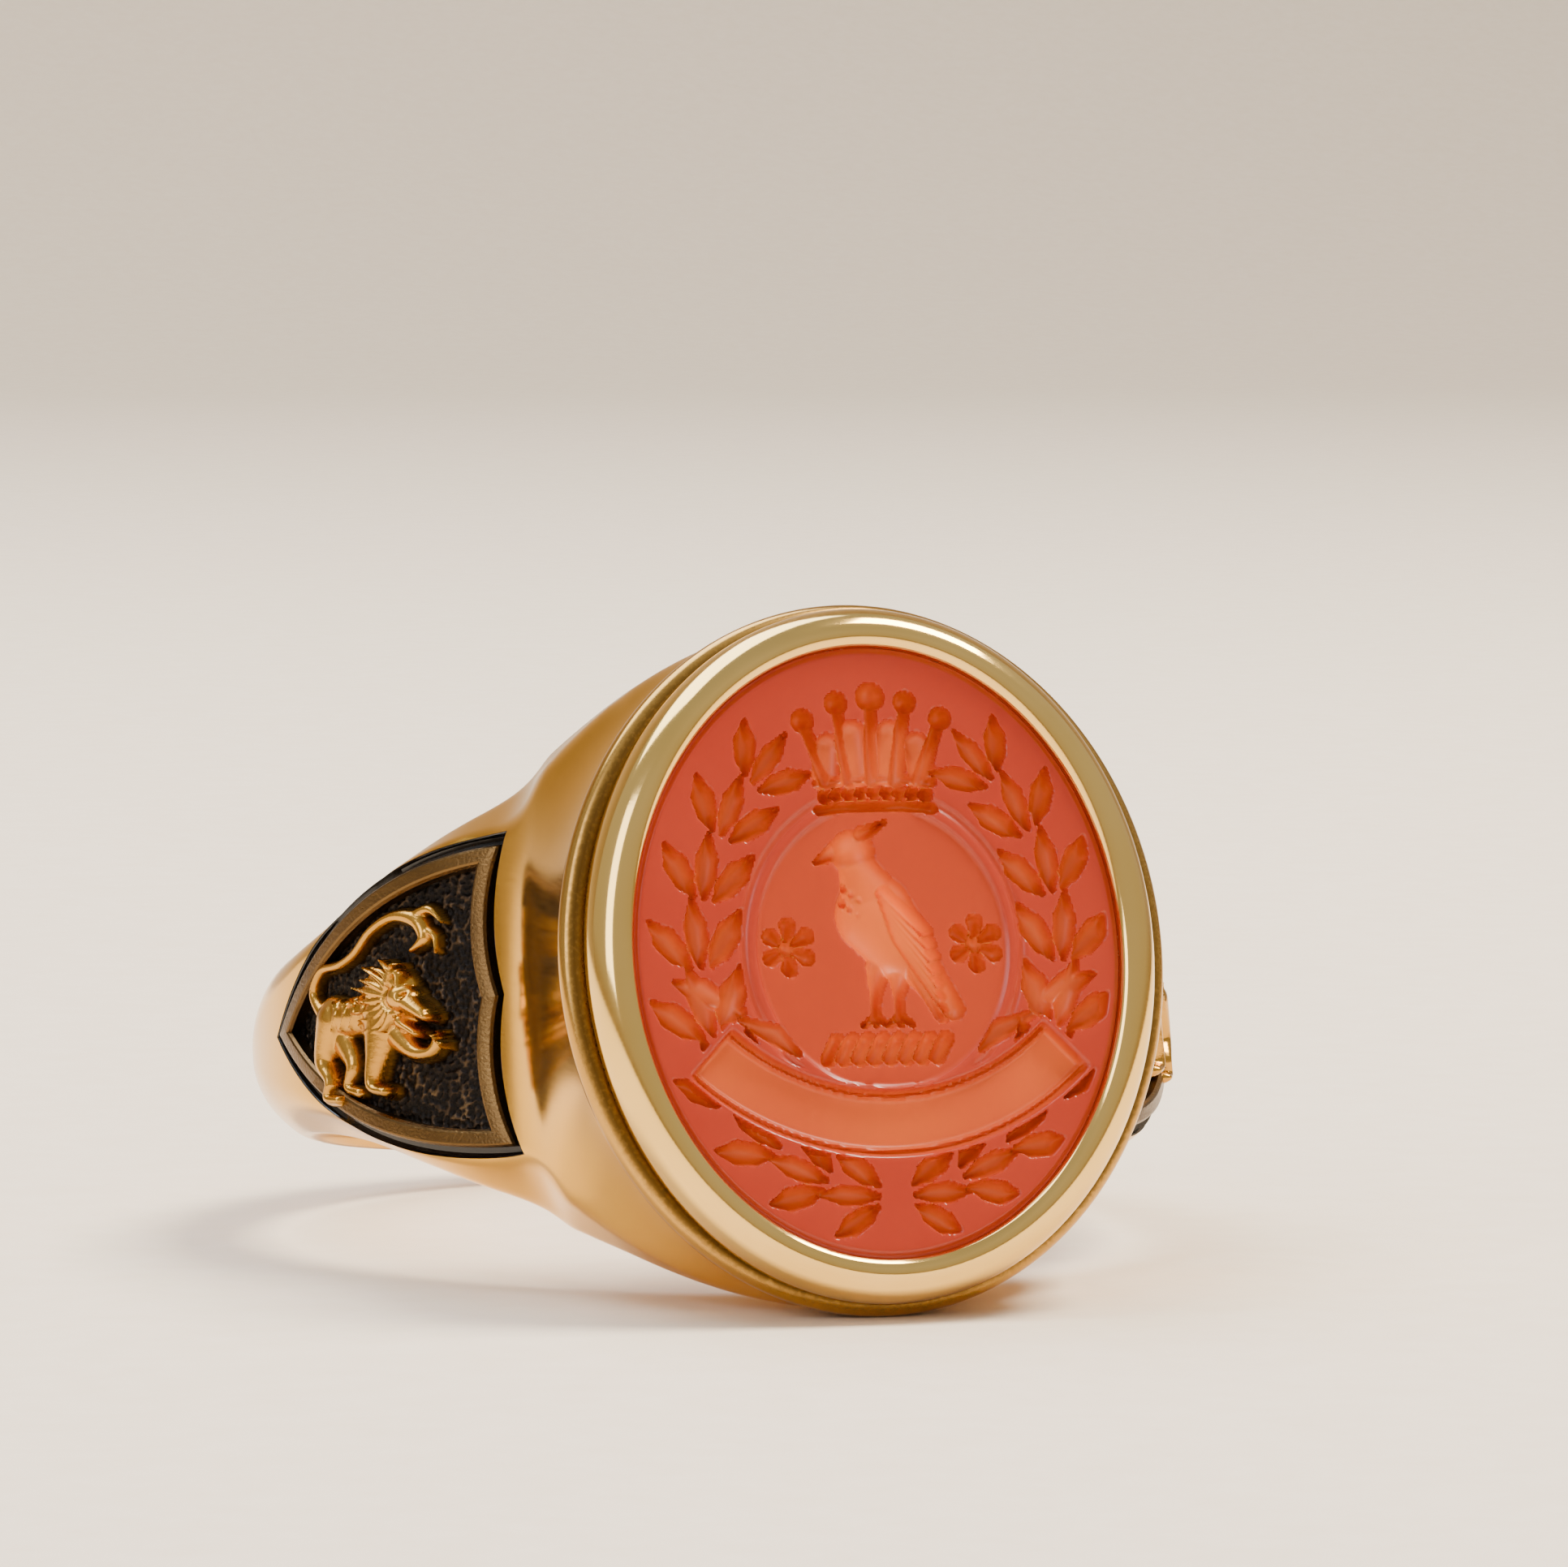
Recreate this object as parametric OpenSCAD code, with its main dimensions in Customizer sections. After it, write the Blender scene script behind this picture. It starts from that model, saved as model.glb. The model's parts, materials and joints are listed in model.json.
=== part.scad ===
// Signet ring with an oval engraved stone, laid on its side.
// Every module is drawn with the finger axis along Z and the head towards -Y.
// lay_down() then tips the ring onto its two points of rest. Millimetres.

/* [Band] */
// Inside diameter of the finger hole
bore_d = 19; // [16:0.1:22]
// Radius of the band's outside, seen along the finger
band_r = 11; // [10.9:0.05:12]
// How far that circle's centre is moved towards the head
band_shift = 0.15; // [0:0.05:0.5]
// Width of the band at the back of the finger
band_w = 4.6; // [3.6:0.1:6]
// How far behind the finger axis the sides start to open towards the head
taper_start = 3; // [1:0.5:4]
// Half width of the shoulders where they leave the head, seen from above the head
shoulder_half = 4.7; // [4.5:0.1:5.5]
// Distance from the ring's middle to that place
shoulder_x = 7; // [6.5:0.1:7.5]
// Half width of the head's upright sides, a little less than the head's oval
neck_x = 6.9; // [6.7:0.05:6.95]
// Radius of the hollow where each shoulder rises to the head
flare_r = 3; // [2:0.5:5]

/* [Head] */
// Distance from the finger axis to the flat top of the shank's head
head_h = 13.5; // [13:0.1:14]
// Half width of the head across the finger
head_x = 7; // [6.8:0.05:7.4]
// Half length of the head along the finger
head_z = 8; // [7.6:0.05:8.2]
// Height of the upright rim below that flat top
rim_h = 0.6; // [0.3:0.1:0.8]
// Height of the half-round moulding round the head
moulding_t = 0.6; // [0.4:0.05:0.8]
// How far the moulding stands out past the head
moulding_out = 0.2; // [0.1:0.05:0.4]

/* [Setting] */
// Half width of the stone that shows inside the lip
window_x = 5.75; // [5:0.05:5.9]
// Half length of the stone that shows inside the lip
window_z = 7; // [6:0.05:7.1]
// How much of the stone lies under the lip, all round
lip_over = 0.3; // [0.2:0.05:0.4]
// Thickness of the collet's wall
collet_t = 0.75; // [0.5:0.05:0.8]
// Height of the narrow neck between moulding and collet
neck_h = 0.2; // [0.1:0.05:0.3]
// Distance from the finger axis to the top of the collet
face_h = 15.3; // [15:0.1:15.6]
// Depth of the lip above the stone's shoulder
lip_t = 0.5; // [0.4:0.05:0.7]
// How far the stone's flat face lies below the collet's top
stone_drop = 0.25; // [0.1:0.05:0.4]
// Full thickness of the stone
stone_t = 1.7; // [1.5:0.05:1.7]
// Height of the bearing that the stone sits on
bearing_h = 0.3; // [0.2:0.05:0.3]
// Width of the bearing
bearing_w = 0.85; // [0.6:0.05:1.5]

/* [Shields] */
// Angle from the head round to the middle of each shield
shield_angle = 60.2; // [58:0.1:64]
// Half height of a shield at its two horns
shield_half = 3.78; // [3.2:0.02:3.9]
// Distance from the shield's middle to its horns
shield_top = 4.42; // [3.8:0.02:4.5]
// Distance from the shield's middle to its tip
shield_tip = 4.26; // [3.8:0.02:4.5]
// How deep the two hollows in the top edge are cut
lobe_depth = 0.4; // [0.2:0.05:0.6]
// How far the cusp between them lies below the horns
cusp_drop = 0.4; // [0.2:0.05:0.6]
// Depth of the pocket in the shoulder, below the band's circle
pocket_depth = 0.5; // [0.3:0.05:0.7]
// Width of the black channel round the plaque
channel_w = 0.26; // [0.2:0.02:0.36]
// Width of the raised border
border_w = 0.42; // [0.3:0.02:0.5]
// Thickness of the plaque's ground
plaque_t = 0.25; // [0.15:0.05:0.35]
// Depth of the black fill in the channel
fill_t = 0.3; // [0.1:0.05:0.4]
// How far the beast stands above the band's circle
beast_proud = 0.45; // [0.1:0.05:0.5]

/* [Hidden] */
$fn = 128;
oval_steps = 120;
step_count = 5;
far = 40;

bore_r = bore_d / 2;
band_half = band_w / 2;
back_r = band_r - band_shift;

// The oval sizes, from the moulding inwards
moulding_x = head_x + moulding_out;
moulding_z = head_z + moulding_out;
seat_x = window_x + lip_over;
seat_z = window_z + lip_over;
collet_x = seat_x + collet_t;
collet_z = seat_z + collet_t;
neck_in = 0.2;
lip_round = 0.55;

// Heights above the finger axis
moulding_top = head_h + moulding_t;
neck_top = moulding_top + neck_h;
lip_under = face_h - lip_t;
stone_top = face_h - stone_drop;
stone_bottom = stone_top - stone_t;
bearing_bottom = stone_bottom - bearing_h;

// The sides open along an arc that is level at the back and reaches the head's full length
taper_rise = head_z - band_half;
taper_run = taper_start + head_h - rim_h;
taper_r = (taper_run * taper_run + taper_rise * taper_rise) / (2 * taper_rise);

// The lens that the shoulders show from above passes through the head's ends
plan_drop = head_z - shoulder_half;
plan_r = (shoulder_x * shoulder_x + plan_drop * plan_drop) / (2 * plan_drop);

// Beyond the lens the sides run straight out to the band, from a place inside the lens
run_end = 12;
run_slope = (shoulder_half - band_half) / (run_end - shoulder_x);
run_x = shoulder_x - 1;
run_half = shoulder_half + run_slope * (shoulder_x - run_x);

// The head widens by this much on its way down to this height
spread_by = 2.5;
spread_h = 9;
head_side_r = head_z * head_z / head_x;

// The hollow that touches the band's circle and runs up into the head's upright side
flare_x = neck_x + flare_r;
flare_y = -band_shift - sqrt(pow(band_r + flare_r, 2) - flare_x * flare_x);

// It starts just past the place where the two circles touch
flare_from = atan2(-band_shift - flare_y, -flare_x) + 8;
flare_to = 180;
flare_steps = 10;

// The shield's sides are two arcs that cross at the tip
side_start = shield_top - 0.3;
side_run = side_start + shield_tip;
side_r = (side_run * side_run + shield_half * shield_half) / (2 * shield_half);
cusp_u = shield_top - cusp_drop;
lobe_chord = norm([shield_half, cusp_drop]);
lobe_r = (lobe_chord * lobe_chord / 4 + lobe_depth * lobe_depth) / (2 * lobe_depth);
lobe_lean = atan2(cusp_drop, shield_half);
lobe_back = lobe_r - lobe_depth;
lobe_u = (shield_top + cusp_u) / 2 + lobe_back * cos(lobe_lean);
lobe_v = shield_half / 2 - lobe_back * sin(lobe_lean);

pocket_r = band_r - pocket_depth;
fill_r = pocket_r + fill_t;
ground_r = pocket_r + plaque_t;
border_r = band_r + 0.05;
beast_r = band_r + beast_proud;

// The ring rests on the moulding's low end and on the back of the band
rest_angle = atan((moulding_z - band_half) / (head_h + moulding_t / 2 + back_r));

function oval_points(rx, rz) = [for (i = [0 : oval_steps - 1])
    [rx * cos(360 * i / oval_steps), rz * sin(360 * i / oval_steps)]];

module lay_down() {
    rotate([-rest_angle, 0, 0]) children();
}

// An oval prism that stands out from the finger axis towards the head
module oval_block(rx, rz, from, to) {
    rotate([90, 0, 0])
        translate([0, 0, from])
            linear_extrude(to - from) polygon(oval_points(rx, rz));
}

module band_cylinder(r) {
    translate([0, -band_shift, -far / 2]) cylinder(r = r, h = far);
}

function flare_points(side) = [for (i = [0 : flare_steps])
    let (turn = flare_from + (flare_to - flare_from) * i / flare_steps)
    [side * (flare_x + flare_r * cos(turn)), flare_y + flare_r * sin(turn)]];

function backwards(list) = [for (i = [len(list) - 1 : -1 : 0]) list[i]];

// The ring as seen along the finger: the band's circle and the rise to the head
module side_block() {
    band_cylinder(band_r);
    translate([0, 0, -far / 2])
        linear_extrude(far)
            polygon(concat([[0, 0]], flare_points(1), [[neck_x, -far], [-neck_x, -far]],
                           backwards(flare_points(-1))));
}

// Seen from the side of the finger: level at the back, opening to the head
module taper_half() {
    difference() {
        translate([-far / 2, 0]) square([far, band_half + taper_rise]);
        translate([taper_start, band_half + taper_r]) circle(r = taper_r);
        translate([taper_start, band_half]) square([far, far]);
    }
}

module taper_outline() {
    taper_half();
    mirror([0, 1]) taper_half();
}

// The head spreads below its top until it is clear of the shoulders
module head_spread(x, r) {
    rotate([90, 0, 0])
        translate([x, 0, spread_h])
            cylinder(r1 = r + spread_by, r2 = r, h = head_h - spread_h);
}

// Its top is close to the moulding's oval: two wide arcs and a round end
module head_cone() {
    intersection() {
        head_spread(0, head_z);
        head_spread(head_x - head_side_r, head_side_r);
        head_spread(head_side_r - head_x, head_side_r);
    }
    translate([-far / 2, -spread_h, -far / 2]) cube(far);
}

// Seen from above the head: a broad lens whose ends run out into the band
module plan_outline() {
    intersection() {
        translate([0, head_z - plan_r]) circle(r = plan_r);
        translate([0, plan_r - head_z]) circle(r = plan_r);
    }
    polygon([[-run_end, -band_half], [-run_x, -run_half], [run_x, -run_half], [run_end, -band_half],
             [run_end, band_half], [run_x, run_half], [-run_x, run_half], [-run_end, band_half]]);
}

module shoulder_block() {
    rotate([90, 0, 0]) linear_extrude(far / 2) plan_outline();
    translate([-far / 2, 0, -far / 2]) cube([far, far / 2, far]);
}

// Every shield piece is an upright outline on the shoulder
module on_shoulder() {
    rotate([0, 0, -shield_angle])
        rotate([90, 0, 0])
            translate([0, 0, bore_r - 2]) linear_extrude(6) children();
}

module shield_side(inset) {
    translate([side_start, shield_half - side_r]) circle(r = side_r - inset);
}

module shield_lobe(inset) {
    translate([lobe_u, lobe_v]) circle(r = lobe_r + inset);
}

module shield_outline(inset) {
    difference() {
        intersection() {
            shield_side(inset);
            mirror([0, 1]) shield_side(inset);
            translate([-far / 2, -far / 2]) square([far / 2 + shield_top - inset / 2, far]);
        }
        shield_lobe(inset);
        mirror([0, 1]) shield_lobe(inset);
    }
}

// A walking beast in profile, its head towards the ring's head and its back upwards
module beast_outline() {
    polygon([[-2, 0.3], [-2.3, 0.9], [-1.8, 1.45], [-0.9, 1.45], [-0.2, 1.8], [0.6, 2.25], [1.5, 2.2],
             [1.9, 1.9], [1.5, 1.5], [0.9, 1.75], [0.3, 1.45], [-0.3, 1.15], [-1.6, 1.1],
             [-1.6, 0.6], [-0.5, 0.6], [0.1, 1.05], [1.1, 1.1], [1.5, 0.6], [2, -0.15],
             [1.7, -0.6], [1.3, -0.6], [1.5, -0.85], [2.2, -0.8], [2.2, -1.25], [1.2, -1.25],
             [0.75, -0.8], [0.5, -1.6], [0.8, -2], [0, -2], [0, -1], [-0.8, -0.7], [-0.9, -1.2],
             [-0.5, -1.85], [-1.7, -2], [-1.8, -1.2], [-2, -0.4]]);
}

module shield_shell(inner, outer) {
    difference() {
        intersection() {
            on_shoulder() children();
            band_cylinder(outer);
        }
        band_cylinder(inner);
    }
}

module shield_enamel() {
    color("black")
        shield_shell(pocket_r, fill_r) difference() {
            shield_outline(0);
            shield_outline(channel_w);
        }
}

module shield_plaque() {
    color("dimgray") shield_shell(pocket_r, ground_r) shield_outline(channel_w);
}

module shield_border() {
    color("gold")
        shield_shell(ground_r, border_r) difference() {
            shield_outline(channel_w);
            shield_outline(channel_w + border_w);
        }
}

module shield_beast() {
    color("goldenrod") shield_shell(ground_r, beast_r) beast_outline();
}

module shank() {
    color("gold")
        difference() {
            intersection() {
                side_block();
                rotate([90, 0, 90])
                    translate([0, 0, -far / 2]) linear_extrude(far) taper_outline();
                shoulder_block();
                head_cone();
            }
            translate([0, 0, -far / 2]) cylinder(r = bore_r, h = far);
            oval_block(seat_x, seat_z, stone_bottom, far / 2);
            oval_block(window_x, window_z, bearing_bottom, far / 2);
            shield_pocket();
            mirror([1, 0, 0]) shield_pocket();
        }
}

module shield_pocket() {
    difference() {
        on_shoulder() shield_outline(0);
        band_cylinder(pocket_r);
    }
}

// A half-round wire, as a stack of ovals
module base_moulding() {
    color("goldenrod")
        difference() {
            for (i = [0 : step_count - 1]) {
                low = i / step_count;
                middle = 2 * (low + 0.5 / step_count) - 1;
                grow = moulding_out - moulding_t / 2 * (1 - sqrt(1 - middle * middle));
                oval_block(head_x + grow, head_z + grow,
                           head_h + moulding_t * low, head_h + moulding_t * (low + 1 / step_count));
            }
            oval_block(seat_x, seat_z, head_h - 1, moulding_top + 1);
        }
}

// The collet: a narrow neck, an upright wall and a lip turned in over the stone
module bezel_wall() {
    color("gold")
        difference() {
            union() {
                oval_block(collet_x - neck_in, collet_z - neck_in, moulding_top, neck_top);
                oval_block(collet_x, collet_z, neck_top, face_h - lip_round);
                for (i = [0 : step_count - 1]) {
                    low = i / step_count;
                    fall = lip_round * (1 - sqrt(1 - pow(low + 0.5 / step_count, 2)));
                    oval_block(collet_x - fall, collet_z - fall, face_h - lip_round * (1 - low),
                               face_h - lip_round * (1 - low - 1 / step_count));
                }
            }
            oval_block(seat_x, seat_z, head_h, lip_under);
            oval_block(window_x, window_z, head_h, far / 2);
        }
}

module bearing_ring() {
    color("darkgoldenrod")
        difference() {
            oval_block(window_x, window_z, bearing_bottom, stone_bottom);
            oval_block(window_x - bearing_w, window_z - bearing_w, bearing_bottom - 1,
                       stone_bottom + 1);
        }
}

module carnelian_stone() {
    color("orangered") {
        oval_block(seat_x, seat_z, stone_bottom, lip_under);
        oval_block(window_x, window_z, lip_under, stone_top);
    }
}

lay_down() shank();
lay_down() base_moulding();
lay_down() bezel_wall();
lay_down() bearing_ring();
lay_down() carnelian_stone();
lay_down() shield_enamel();  // left_shield_enamel
lay_down() shield_plaque();  // left_shield_plaque
lay_down() shield_border();  // left_shield_border
lay_down() shield_beast();  // left_shield_beast
lay_down() mirror([1, 0, 0]) shield_enamel();  // right_shield_enamel
lay_down() mirror([1, 0, 0]) shield_plaque();  // right_shield_plaque
lay_down() mirror([1, 0, 0]) shield_border();  // right_shield_border
lay_down() mirror([1, 0, 0]) shield_beast();  // right_shield_beast
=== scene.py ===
# Signet ring: 18 ct yellow gold, an engraved carnelian in a collet, a blackened shield on each shoulder.
# Shapes are worked out in millimetres in the ring's own frame, with z along the finger and the head
# towards -y, and then laid down on the ring's side into the frame of the CAD model.
import json
import math
import bpy
import numpy as np
from mathutils import Matrix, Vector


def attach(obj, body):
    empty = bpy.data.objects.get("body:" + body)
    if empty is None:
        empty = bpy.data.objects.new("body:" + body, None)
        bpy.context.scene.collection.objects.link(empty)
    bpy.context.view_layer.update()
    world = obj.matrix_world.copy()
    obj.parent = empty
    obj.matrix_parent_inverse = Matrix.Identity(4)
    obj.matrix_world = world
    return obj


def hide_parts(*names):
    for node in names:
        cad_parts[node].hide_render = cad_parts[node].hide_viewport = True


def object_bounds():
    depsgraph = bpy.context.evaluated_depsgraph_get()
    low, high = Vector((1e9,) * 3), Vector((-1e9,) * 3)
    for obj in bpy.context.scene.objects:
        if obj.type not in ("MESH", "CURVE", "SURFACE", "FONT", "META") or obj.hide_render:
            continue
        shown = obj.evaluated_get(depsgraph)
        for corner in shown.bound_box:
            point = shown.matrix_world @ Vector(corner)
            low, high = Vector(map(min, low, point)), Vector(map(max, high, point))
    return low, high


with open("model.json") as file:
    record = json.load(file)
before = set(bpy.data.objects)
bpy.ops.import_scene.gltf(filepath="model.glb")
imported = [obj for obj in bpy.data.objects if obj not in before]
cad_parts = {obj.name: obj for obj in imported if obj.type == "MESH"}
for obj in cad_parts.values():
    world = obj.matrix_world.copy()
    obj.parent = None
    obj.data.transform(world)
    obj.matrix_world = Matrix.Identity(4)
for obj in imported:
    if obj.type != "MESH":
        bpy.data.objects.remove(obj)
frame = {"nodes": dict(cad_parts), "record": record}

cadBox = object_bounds()
finger = frame["record"]["mounts"][0]
restTilt = math.atan2(finger["axis"][1], finger["axis"][2])
boreRadius = finger["dims"]["r_mm"]
print("frame loaded:", len(frame["nodes"]), "nodes, resting tilt", round(math.degrees(restTilt), 2))


# ---------- camera ----------
view = dict(
    azimuth=-17.0, elevation=6.0, roll=0.5,   # degrees
    distance=193.3,                            # mm from the middle of the stone
    lens=195.6, sensor=36,
    faceHeight=15.3,                           # from the finger axis to the collet's top
    aimLeft=2.22, aimUp=3.78,                  # mm, so that the ring sits low and right of the middle
)


def layDown(points):
    p = np.asarray(points, float)
    c, s = math.cos(restTilt), math.sin(restTilt)
    return np.stack([p[..., 0], p[..., 1] * c + p[..., 2] * s, p[..., 2] * c - p[..., 1] * s], -1) / 1000


def aimed(place, aim, up=(0, 0, 1)):
    # stands at place and looks at aim
    z = np.subtract(place, aim)
    z /= np.linalg.norm(z)
    x = np.cross(up, z)
    x /= np.linalg.norm(x)
    return Matrix(np.vstack([np.stack([x, np.cross(z, x), z, place], 1), [0, 0, 0, 1]]).tolist())


def addCamera():
    a, e, roll = (math.radians(view[k]) for k in ("azimuth", "elevation", "roll"))
    back = np.array([math.sin(a) * math.cos(e), -math.cos(a) * math.cos(e), math.sin(e)])
    right = np.array([math.cos(a), math.sin(a), 0])
    up = np.cross(back, right)
    right, up = right * math.cos(roll) + up * math.sin(roll), up * math.cos(roll) - right * math.sin(roll)
    face = layDown([0, -view["faceHeight"], 0])
    place = face + back * view["distance"] / 1000
    aim = face + (up * view["aimUp"] - right * view["aimLeft"]) / 1000
    lens = bpy.data.cameras.new("camera")
    lens.lens, lens.sensor_width = view["lens"], view["sensor"]
    lens.clip_start, lens.clip_end = 0.01, 20
    camera = bpy.data.objects.new("camera", lens)
    bpy.context.collection.objects.link(camera)
    camera.matrix_world = aimed(place, aim, up)
    bpy.context.scene.camera = camera


addCamera()


# ---------- small tools ----------
def gridFaces(rows, cols, wrapRows=False, wrapCols=False, flip=False):
    r = np.arange(rows if wrapRows else rows - 1)[:, None]
    c = np.arange(cols if wrapCols else cols - 1)[None, :]
    r2, c2 = (r + 1) % rows, (c + 1) % cols
    quads = np.stack([r * cols + c, r * cols + c2, r2 * cols + c2, r2 * cols + c], -1).reshape(-1, 4)
    return (quads[:, ::-1] if flip else quads).tolist()


def makePiece(name, points, faces, material, sharp=32, attributes=None):
    mesh = bpy.data.meshes.new(name)
    mesh.from_pydata(layDown(points).reshape(-1, 3).tolist(), [], faces)
    mesh.materials.append(material)
    for key, values in (attributes or {}).items():
        layer = mesh.attributes.new(key, "FLOAT", "POINT")
        layer.data.foreach_set("value", np.asarray(values, np.float32).ravel())
    mesh.update()
    mesh.shade_smooth()
    mesh.set_sharp_from_angle(angle=math.radians(sharp))
    piece = bpy.data.objects.new(name, mesh)
    bpy.context.collection.objects.link(piece)
    return piece


def smoothMax(a, b, k):
    return np.maximum(a, b) + np.maximum(k - np.abs(a - b), 0) ** 2 / (4 * k)


def smoothMin(a, b, k):
    return -smoothMax(-a, -b, k)


def smoothStep(t):
    t = np.clip(t, 0, 1)
    return t * t * (3 - 2 * t)


def easyCurve(knots, values, at):
    # a smooth curve through a few given values, level at its two ends
    knots, values = np.asarray(knots, float), np.asarray(values, float)
    slope = np.gradient(values, knots)
    slope[[0, -1]] = 0
    i = np.clip(np.searchsorted(knots, at, "right") - 1, 0, len(knots) - 2)
    w = knots[i + 1] - knots[i]
    t = np.clip((at - knots[i]) / w, 0, 1)
    return ((2 * t**3 - 3 * t**2 + 1) * values[i] + (t**3 - 2 * t**2 + t) * w * slope[i]
            + (3 * t**2 - 2 * t**3) * values[i + 1] + (t**3 - t**2) * w * slope[i + 1])


# ---------- materials ----------
def linear(hexColour):
    parts = [int(hexColour[i:i + 2], 16) / 255 for i in (1, 3, 5)]
    return tuple(p / 12.92 if p <= 0.04045 else ((p + 0.055) / 1.055) ** 2.4 for p in parts) + (1,)


def addNode(tree, kind, settings=None, links=None):
    node = tree.nodes.new(kind)
    for key, value in (settings or {}).items():
        if isinstance(key, int) or key in node.inputs:
            node.inputs[key].default_value = value
        else:
            setattr(node, key, value)
    for key, source in (links or {}).items():
        tree.links.new(source, node.inputs[key])
    return node


def newMaterial(name):
    material = bpy.data.materials.new(name)
    material.use_nodes = True
    material.node_tree.nodes.clear()
    return material, material.node_tree


def finishMaterial(tree, shader):
    addNode(tree, "ShaderNodeOutputMaterial", links={"Surface": shader.outputs[0]})


def setRamp(ramp, stops):
    while len(ramp.color_ramp.elements) < len(stops):
        ramp.color_ramp.elements.new(0.5)
    for element, (place, colour) in zip(ramp.color_ramp.elements, stops):
        element.position = place
        element.color = colour if isinstance(colour, tuple) else linear(colour)
    return ramp


def castGold(name, bright, deep, roughness, scratches=0.25, patinaAndShade=False, grain=0.0):
    # 18 ct yellow gold, cast then polished: wide soft reflections, hair-fine wheel marks, and in the
    # corners a dark brown film, partly patina where the polishing mop can't reach and partly painted shade in
    # the crevices
    material, tree = newMaterial(name)
    place = addNode(tree, "ShaderNodeTexCoord").outputs["Object"]
    cloud = addNode(tree, "ShaderNodeTexNoise", {"Scale": 420.0, "Detail": 3.0}, {"Vector": place})  # 2.4 mm
    tint = addNode(tree, "ShaderNodeMix", {"data_type": "RGBA", 6: linear(bright), 7: linear(deep)},
                   {0: cloud.outputs["Fac"]})
    colour = tint.outputs[2]
    stretch = addNode(tree, "ShaderNodeMapping", {"Scale": (1200.0, 1200.0, 16000.0)}, {"Vector": place})
    marks = addNode(tree, "ShaderNodeTexNoise", {"Scale": 1.0, "Detail": 2.0}, {"Vector": stretch.outputs[0]})
    rough = addNode(tree, "ShaderNodeMapRange",
                    {"To Min": roughness * (1 - scratches), "To Max": roughness * (1 + scratches)},
                    {"Value": marks.outputs["Fac"]})
    roughOut = rough.outputs[0]
    if patinaAndShade:
        # patinaAndShade darkens the gold towards dark brown: partly patina, partly painted shade in crevices
        # and recesses
        filmAndShade = addNode(tree, "ShaderNodeAttribute", {"attribute_name": "patinaAndShade"})
        speck = addNode(tree, "ShaderNodeTexNoise", {"Scale": 9000.0, "Detail": 2.0},
                        {"Vector": place})                                                    # 0.1 mm
        patchy = addNode(tree, "ShaderNodeMath", {"operation": "MULTIPLY_ADD", 1: 1.1, 2: -0.42},
                         {0: speck.outputs["Fac"]})
        amount = addNode(tree, "ShaderNodeMath", {"operation": "MULTIPLY_ADD", 1: 1.25, "use_clamp": True},
                         {0: filmAndShade.outputs["Fac"], 2: patchy.outputs[0]})
        gated = addNode(tree, "ShaderNodeMath", {"operation": "MULTIPLY", "use_clamp": True},
                        {0: amount.outputs[0], 1: filmAndShade.outputs["Fac"]})
        darkened = addNode(tree, "ShaderNodeMix", {"data_type": "RGBA", 7: linear("#2A1C0C")},
                        {0: gated.outputs[0], 6: colour})
        colour = darkened.outputs[2]
        dull = addNode(tree, "ShaderNodeMath", {"operation": "MULTIPLY_ADD", 1: 0.4},
                       {0: gated.outputs[0], 2: roughOut})
        roughOut = dull.outputs[0]
    shader = addNode(tree, "ShaderNodeBsdfPrincipled", {"Metallic": 1.0},
                     {"Base Color": colour, "Roughness": roughOut})
    height = addNode(tree, "ShaderNodeBump", {"Strength": 0.02, "Distance": 0.00002},
                     {"Height": marks.outputs["Fac"]})
    if grain:
        pits = addNode(tree, "ShaderNodeTexNoise", {"Scale": 14000.0, "Detail": 3.0}, {"Vector": place})
        height = addNode(tree, "ShaderNodeBump", {"Strength": grain, "Distance": 0.00003},
                         {"Height": pits.outputs["Fac"], "Normal": height.outputs[0]})
    tree.links.new(height.outputs[0], shader.inputs["Normal"])
    finishMaterial(tree, shader)
    return material


goldShank = castGold("polished_cast_gold", "#E4B052", "#D29F40", 0.15, patinaAndShade=True)
# the collet's gold is painted paler than the shank's: a painted highlight for the pale champagne reflections
# on the collet
goldCollet = castGold("burnished_gold_collet", "#EFC878", "#E4BA62", 0.11, patinaAndShade=True)
# the wire's gold is painted darker than the shank's: painted shade, as the moulding sits in shade below the
# collet
goldWire = castGold("half_round_gold_wire", "#CC9E50", "#B08440", 0.17, patinaAndShade=True)
goldBearing = castGold("satin_gold_bearing", "#E6C27A", "#D9B061", 0.3)
goldBorder = castGold("satin_gold_border", "#775C36", "#4A3620", 0.3, patinaAndShade=True, grain=0.4)
goldRelief = castGold("cast_gold_relief", "#D09C46", "#AC7C30", 0.22, patinaAndShade=True, grain=0.15)


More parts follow.
